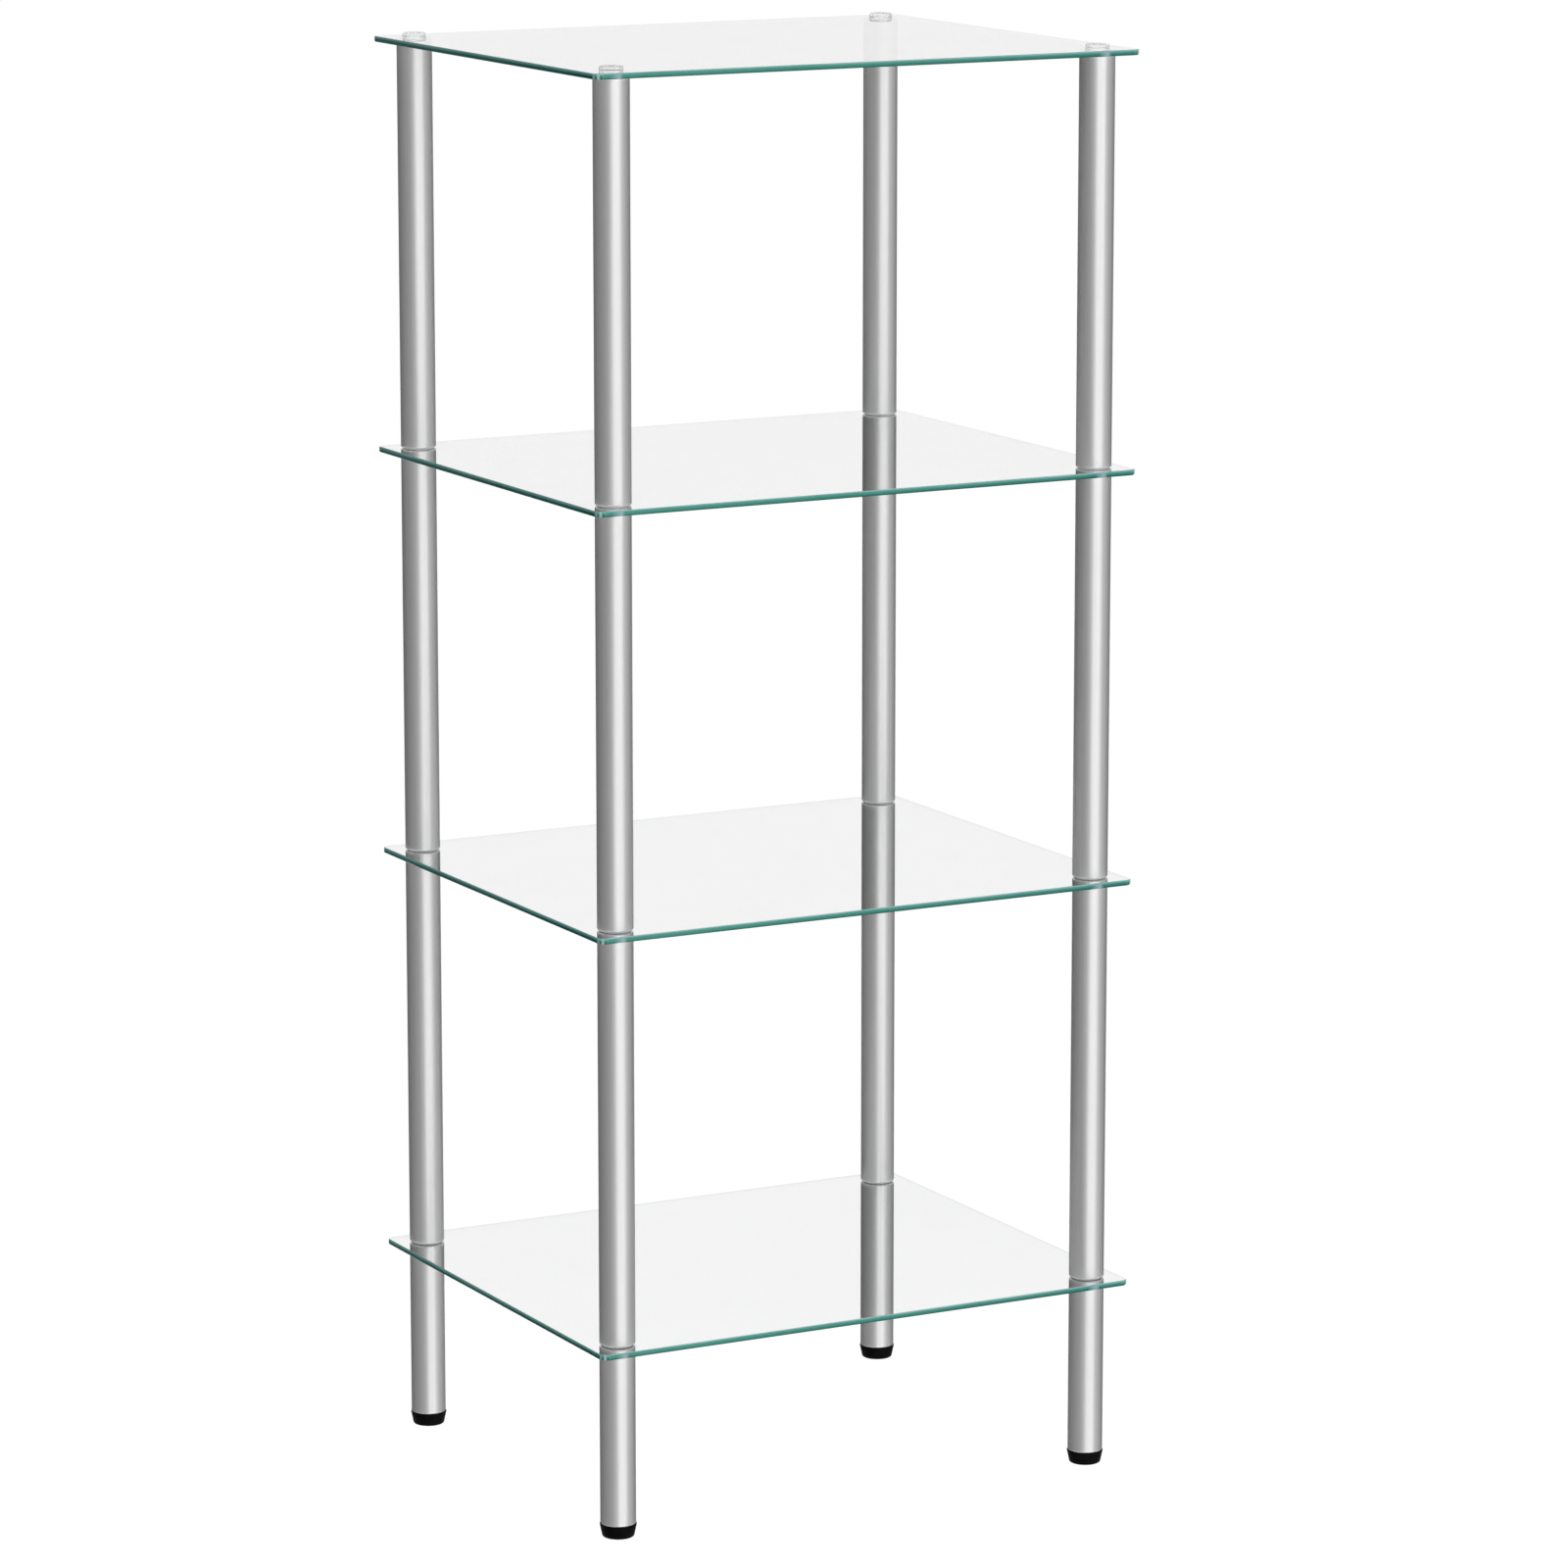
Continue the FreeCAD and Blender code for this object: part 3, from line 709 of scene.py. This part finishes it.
def turned_bush(name, axis, flange_face, upward):
    """A bush with its flange on a tube end, and its collar up, 1, or down, -1, into the hole."""
    shoulder = flange_face + upward * BUSH_FLANGE
    collar_end = shoulder + upward * BUSH_COLLAR
    bush = turn(name, axis, (
        (BUSH_BORE_RADIUS, flange_face),
        (bush_flange_radius, flange_face),
        (bush_flange_radius, shoulder),
        (BUSH_COLLAR_RADIUS, shoulder),
        (BUSH_COLLAR_RADIUS, collar_end),
        (BUSH_BORE_RADIUS, collar_end),
        (BUSH_BORE_RADIUS, flange_face),
    ), BUSH_SIDES, start="NOTHING")
    smooth(bush, BUSH_CREASE)
    for rim in (flange_face, shoulder):
        round_ring(bush, axis, bush_flange_radius, rim, BUSH_RIM_ROUND, BUSH_RIM_STEPS)
    round_ring(bush, axis, BUSH_COLLAR_RADIUS, collar_end, BUSH_LEAD_IN, 1)
    smooth(bush, BUSH_CREASE)
    return bush


bush_axis = middle("foot_front_left")
bushes_low, bushes_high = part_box("bottom_shelf_bushes")
bush_flange_radius = bush_axis.x - bushes_low.x
under_bush = turned_bush("clear_bush_bottom_under_front_left", bush_axis, bushes_low.z, 1)
under_bush.data.materials.append(under_plastic)
over_bush = turned_bush("clear_bush_bottom_over_front_left", bush_axis, bushes_high.z, -1)
over_bush.data.materials.append(over_plastic)
for shelf in SHELVES:
    node = shelf + "_shelf_bushes"
    for side, first_bush in (("under", under_bush), ("over", over_bush)):
        if (shelf, side) == ("top", "over"):
            continue
        for corner in CORNERS:
            shift = middle("foot_" + corner) - bush_axis
            shift.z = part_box(node)[0].z - bushes_low.z
            name = f"clear_bush_{shelf}_{side}_{corner}"
            bush = assemble(first_bush, name, shift, node)
            if shelf == "top":
                bush.data.materials[0] = over_plastic


# Joining studs: zinc plated steel rods with a rolled metric thread from end to end. One goes
# through each hole of the three lower shelves and draws the tube below and the tube above onto
# the glass.
STUD_RADIUS = 4 * MM
STUD_CHAMFER = 0.8 * MM
THREAD_PITCH = 1.25 * MM
THREAD_DEPTH = 0.7 * MM
THREAD_CREST = 0.125
THREAD_STEPS = 32
THREAD_CREASE = 25
THREAD_RUN_OUT = 2
THREAD_SPARE = 0.3 * MM
THREAD_CLEAR = 0.05 * MM
ZINC = (0.55, 0.56, 0.58, 1)
ZINC_DULL = (0.42, 0.43, 0.46, 1)
ZINC_ROUGHNESS = (0.25, 0.42)
zinc, tree, shader, place = new_finish("zinc_plated_steel")
shader.inputs["Metallic"].default_value = 1
skin = use_group(tree, moulded_skin, place, Grain=900.0, Rub=220.0)
rub_over(tree, shader, skin, (ZINC, ZINC_DULL), ZINC_ROUGHNESS)


def wound_thread(name, axis, low, high):
    """A thread with no ends: one tooth wound round and up the axis, past both heights."""
    start = low - THREAD_RUN_OUT * THREAD_PITCH
    flank = STUD_RADIUS - THREAD_DEPTH / 2
    bpy.ops.object.select_all(action="DESELECT")
    bpy.ops.mesh.primitive_plane_add(
        size=1, location=(axis.x, axis.y, start), rotation=(math.radians(90), 0, 0))
    rod = bpy.context.object
    rod.name = name
    rod.data.name = name
    bpy.ops.object.transform_apply(location=False, rotation=True, scale=True)
    bpy.ops.object.mode_set(mode="EDIT")
    bpy.ops.transform.resize(
        value=(THREAD_DEPTH, 1, THREAD_PITCH), center_override=(axis.x, axis.y, start))
    bpy.ops.transform.translate(value=(flank, 0, 0))
    bpy.ops.object.mode_set(mode="OBJECT")
    pick_edges(rod, lambda edge: all(point.co.x > flank for point in edge.verts))
    bpy.ops.transform.resize(
        value=(1, 1, THREAD_CREST), center_override=(axis.x + STUD_RADIUS, axis.y, start))
    bpy.ops.object.mode_set(mode="OBJECT")
    pick_edges(rod, lambda edge: all(point.co.x < flank for point in edge.verts))
    bpy.ops.mesh.delete(type="EDGE_FACE")
    bpy.ops.object.mode_set(mode="OBJECT")
    winding = rod.modifiers.new("winding", "SCREW")
    winding.axis = "Z"
    winding.angle = 2 * math.pi
    winding.screw_offset = THREAD_PITCH
    winding.iterations = math.ceil((high - low) / THREAD_PITCH) + 2 * THREAD_RUN_OUT
    winding.steps = THREAD_STEPS
    winding.render_steps = THREAD_STEPS
    bpy.ops.object.modifier_apply(modifier=winding.name)
    bpy.ops.object.transform_apply(location=True, rotation=True, scale=True)
    return rod


def threaded_rod(name, axis, low, high):
    """A rod with a real thread, cut off a little long, closed, and trimmed to bevelled ends."""
    rod = wound_thread(name, axis, low, high)
    bpy.ops.object.mode_set(mode="EDIT")
    bpy.ops.mesh.select_all(action="SELECT")
    bpy.ops.mesh.remove_doubles(threshold=SAME_POINT)
    bpy.ops.mesh.bisect(
        plane_co=(0, 0, high + THREAD_SPARE), plane_no=(0, 0, 1), use_fill=True,
        clear_outer=True, threshold=SAME_POINT)
    bpy.ops.mesh.select_all(action="SELECT")
    bpy.ops.mesh.bisect(
        plane_co=(0, 0, low - THREAD_SPARE), plane_no=(0, 0, 1), use_fill=True,
        clear_inner=True, threshold=SAME_POINT)
    bpy.ops.object.mode_set(mode="OBJECT")
    smooth(rod, THREAD_CREASE)
    reach = STUD_RADIUS + THREAD_CLEAR
    envelope = turn(name + "_envelope", axis, (
        (reach - STUD_CHAMFER, low),
        (reach, low + STUD_CHAMFER),
        (reach, high - STUD_CHAMFER),
        (reach - STUD_CHAMFER, high),
    ), THREAD_STEPS)
    smooth(envelope, THREAD_CREASE)
    combine(rod, envelope, "INTERSECT")
    smooth(rod, THREAD_CREASE)
    return rod


stud_low, stud_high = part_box("bottom_shelf_studs")
stud_axis = middle("foot_front_left")
first_stud = threaded_rod("zinc_stud_bottom_front_left", stud_axis, stud_low.z, stud_high.z)
first_stud.data.materials.append(zinc)
for shelf in SHELVES[:-1]:
    node = shelf + "_shelf_studs"
    for corner in CORNERS:
        shift = middle("foot_" + corner) - stud_axis
        shift.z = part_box(node)[0].z - stud_low.z
        assemble(first_stud, f"zinc_stud_{shelf}_{corner}", shift, node)


# Cap screws: clear moulded screws with a round dished head, one on each corner of the top shelf.
# Each goes through the drilled hole, where its collar sits, into the threaded plug of the tube
# below, and holds the top pane down.
CAP_SIDES = 72
CAP_CREASE = 30
CAP_HEAD = 3 * MM
CAP_HEAD_ROUND = 1.2 * MM
CAP_HEAD_STEPS = 8
CAP_DISH_RADIUS = 4.5 * MM
CAP_DISH = 0.7 * MM
CAP_DISH_CURVE = ((1, 0), (0.66, 0.55), (0.33, 0.88), (0.08, 1))
CAP_COLLAR_RADIUS = 5.75 * MM
CAP_COLLAR = 1.8 * MM
CAP_OVERLAP = 0.6 * MM
CAP_CLEAR = (0.985, 0.987, 0.988, 1)
CAP_DULL = (0.965, 0.968, 0.97, 1)
CAP_THROUGH = 0.6
CAP_BODY = 0.5
cap_plastic = clear_moulding("clear_moulded_plastic", CAP_CLEAR, CAP_DULL, CAP_THROUGH, CAP_BODY)
cap_low, cap_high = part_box("cap_screw_front_left")
cap_axis = middle("cap_screw_front_left")
cap_head_radius = (cap_high.x - cap_low.x) / 2
cap_seat = cap_high.z - CAP_HEAD
cap = turn("clear_cap_front_left", cap_axis, (
    (CAP_COLLAR_RADIUS, cap_seat - CAP_COLLAR),
    (CAP_COLLAR_RADIUS, cap_seat),
    (cap_head_radius, cap_seat),
    (cap_head_radius, cap_high.z),
    *((CAP_DISH_RADIUS * out, cap_high.z - CAP_DISH * down) for out, down in CAP_DISH_CURVE),
), CAP_SIDES)
round_ring(cap, cap_axis, cap_head_radius, cap_high.z, CAP_HEAD_ROUND, CAP_HEAD_STEPS)
smooth(cap, CAP_CREASE)
shank_end = cap_seat - CAP_COLLAR + STUD_CHAMFER + CAP_OVERLAP
combine(cap, threaded_rod("cap_shank", cap_axis, cap_low.z, shank_end), "UNION")
smooth(cap, CAP_CREASE)
cap.data.materials.append(cap_plastic)
for corner in CORNERS:
    node = "cap_screw_" + corner
    assemble(cap, "clear_cap_" + corner, middle(node) - cap_axis, node)


# Room: a wide pale floor, which keeps the soft shadow of the feet, under a surround that is white
# for the camera and through the glass. Mirrored, the surround is paler in front than behind. Panes
# mirror a pale ceiling, but a tube that a pane shows upside down mirrors only what is around it.
FLOOR_SIZE = 120
FLOOR_DROP = 0.05 * MM
FLOOR_GLOW = 0.932
FLOOR_SHADE = (0.26, 0.26, 0.26, 1)
FLOOR_COLOUR = (0.82, 0.82, 0.82, 1)
SURROUND_COLOUR = (1, 1, 1, 1)
SURROUND_WHITE = 1.0
SURROUND_LIGHT = 0.27
SURROUND_ABOVE = 0.885
SURROUND_BELOW = 1.0
SURROUND_FRONT = 0.68
SURROUND_BACK = 0.10
SURROUND_HEADING = 15
BELOW_SPAN = (-0.55, -0.30)
HORIZON_SPAN = (0.02, 0.07)
SECOND_MIRROR_SPAN = (1.0, 2.0)


def seen(tree, kinds):
    """A value of 1 for the rays of these kinds and 0 for all others."""
    path = tree.nodes.new("ShaderNodeLightPath")
    found = path.outputs[kinds[0]]
    for kind in kinds[1:]:
        both = tree.nodes.new("ShaderNodeMath")
        both.operation = "MAXIMUM"
        tree.links.new(found, both.inputs[0])
        tree.links.new(path.outputs[kind], both.inputs[1])
        found = both.outputs["Value"]
    return found


def graded(tree, source, low, high, span=(0.0, 1.0)):
    """A value that goes softly from low to high, each plain or a socket, over the source's span."""
    step = tree.nodes.new("ShaderNodeMapRange")
    step.interpolation_type = "SMOOTHSTEP"
    step.inputs["From Min"].default_value = span[0]
    step.inputs["From Max"].default_value = span[1]
    tree.links.new(source, step.inputs["Value"])
    for socket, value in (("To Min", low), ("To Max", high)):
        if isinstance(value, float):
            step.inputs[socket].default_value = value
        else:
            tree.links.new(value, step.inputs[socket])
    return step.outputs["Result"]


surround = bpy.data.worlds.new("white_surround")
bpy.context.scene.world = surround
surround.use_nodes = True
tree = surround.node_tree
backdrop = tree.nodes["Background"]
backdrop.inputs["Color"].default_value = SURROUND_COLOUR
heading = math.radians(SURROUND_HEADING)
looking = tree.nodes.new("ShaderNodeTexCoord").outputs["Generated"]
height = tree.nodes.new("ShaderNodeSeparateXYZ")
tree.links.new(looking, height.inputs["Vector"])
forward = tree.nodes.new("ShaderNodeVectorMath")
forward.operation = "DOT_PRODUCT"
forward.inputs[1].default_value = (math.sin(heading), -math.cos(heading), 0)
tree.links.new(looking, forward.inputs[0])
around = graded(tree, forward.outputs["Value"], SURROUND_BACK, SURROUND_FRONT)
under = graded(tree, height.outputs["Z"], SURROUND_BELOW, around, BELOW_SPAN)
mirrors = tree.nodes.new("ShaderNodeLightPath").outputs["Glossy Depth"]
above = graded(tree, mirrors, SURROUND_ABOVE, around, SECOND_MIRROR_SPAN)
mirrored = graded(tree, height.outputs["Z"], under, above, HORIZON_SPAN)
unseen = graded(tree, seen(tree, ("Is Glossy Ray",)), SURROUND_LIGHT, mirrored)
in_sight = seen(tree, ("Is Camera Ray", "Is Transmission Ray"))
strength = graded(tree, in_sight, unseen, SURROUND_WHITE)
tree.links.new(strength, backdrop.inputs["Strength"])

bpy.ops.object.select_all(action="DESELECT")
bpy.ops.mesh.primitive_plane_add(size=FLOOR_SIZE, location=(0, 0, cad_box[0].z - FLOOR_DROP))
floor = bpy.context.object
floor.name = "floor"
pale_floor = bpy.data.materials.new("pale_floor")
pale_floor.use_nodes = True
tree = pale_floor.node_tree
tree.nodes.remove(tree.nodes["Principled BSDF"])
matt = tree.nodes.new("ShaderNodeBsdfDiffuse")
matt.inputs["Color"].default_value = FLOOR_COLOUR
shade = tree.nodes.new("ShaderNodeBsdfDiffuse")
shade.inputs["Color"].default_value = FLOOR_SHADE
glow = tree.nodes.new("ShaderNodeEmission")
glow.inputs["Strength"].default_value = FLOOR_GLOW
white = tree.nodes.new("ShaderNodeAddShader")
tree.links.new(glow.outputs["Emission"], white.inputs[0])
tree.links.new(shade.outputs["BSDF"], white.inputs[1])
which = tree.nodes.new("ShaderNodeMixShader")
in_sight = seen(tree, ("Is Camera Ray", "Is Glossy Ray", "Is Transmission Ray"))
tree.links.new(in_sight, which.inputs["Fac"])
tree.links.new(matt.outputs["BSDF"], which.inputs[1])
tree.links.new(white.outputs["Shader"], which.inputs[2])
tree.links.new(which.outputs["Shader"], tree.nodes["Material Output"].inputs["Surface"])
floor.data.materials.append(pale_floor)
floor.visible_glossy = False
floor.visible_shadow = False


# Lamps: a pair of tall soft boxes in front of the shelf unit, and a weaker low one behind it. They
# reach below the floor, which casts no shadow, so that the tubes mirror them down to the feet, and
# the gap between the pair is where the front tubes would hide them from the back tubes.
LAMPS = (
    ("left_soft_box", (-1.26, -4.6, 0.2), 0, (1.8, 7.0), 86),
    ("right_soft_box", (1.26, -4.6, 0.2), 0, (1.8, 7.0), 86),
    ("back_soft_box", (2.16, 4.06, -1.6), 152, (3.0, 2.8), 70),
)
for name, spot, heading, size, power in LAMPS:
    bpy.ops.object.light_add(
        type="AREA", location=spot, rotation=(math.radians(90), 0, math.radians(heading)))
    lamp = bpy.context.object
    lamp.name = name
    lamp.data.shape = "RECTANGLE"
    lamp.data.size = size[0]
    lamp.data.size_y = size[1]
    lamp.data.energy = power
    lamp.visible_camera = False
    lamp.visible_transmission = False


# Camera: at the viewing angle of the photograph, from the left, a little above the top shelf.
# It is tilted and has no shift, so that other views keep the whole shelf unit in the frame.
CAMERA_PLACE = (-2.15487, -4.09545, 1.39270)
CAMERA_TURN = 28.026
CAMERA_TILT = 11.078
CAMERA_LENS = 151.98
CAMERA_SENSOR = 36
CAMERA_REACH = 200
bpy.ops.object.camera_add(
    location=CAMERA_PLACE,
    rotation=(math.radians(90 - CAMERA_TILT), 0, math.radians(-CAMERA_TURN)))
camera = bpy.context.object
camera.name = "camera"
camera.data.lens = CAMERA_LENS
camera.data.sensor_width = CAMERA_SENSOR
camera.data.clip_end = CAMERA_REACH
bpy.context.scene.camera = camera
bpy.context.scene.view_settings.view_transform = "Standard"
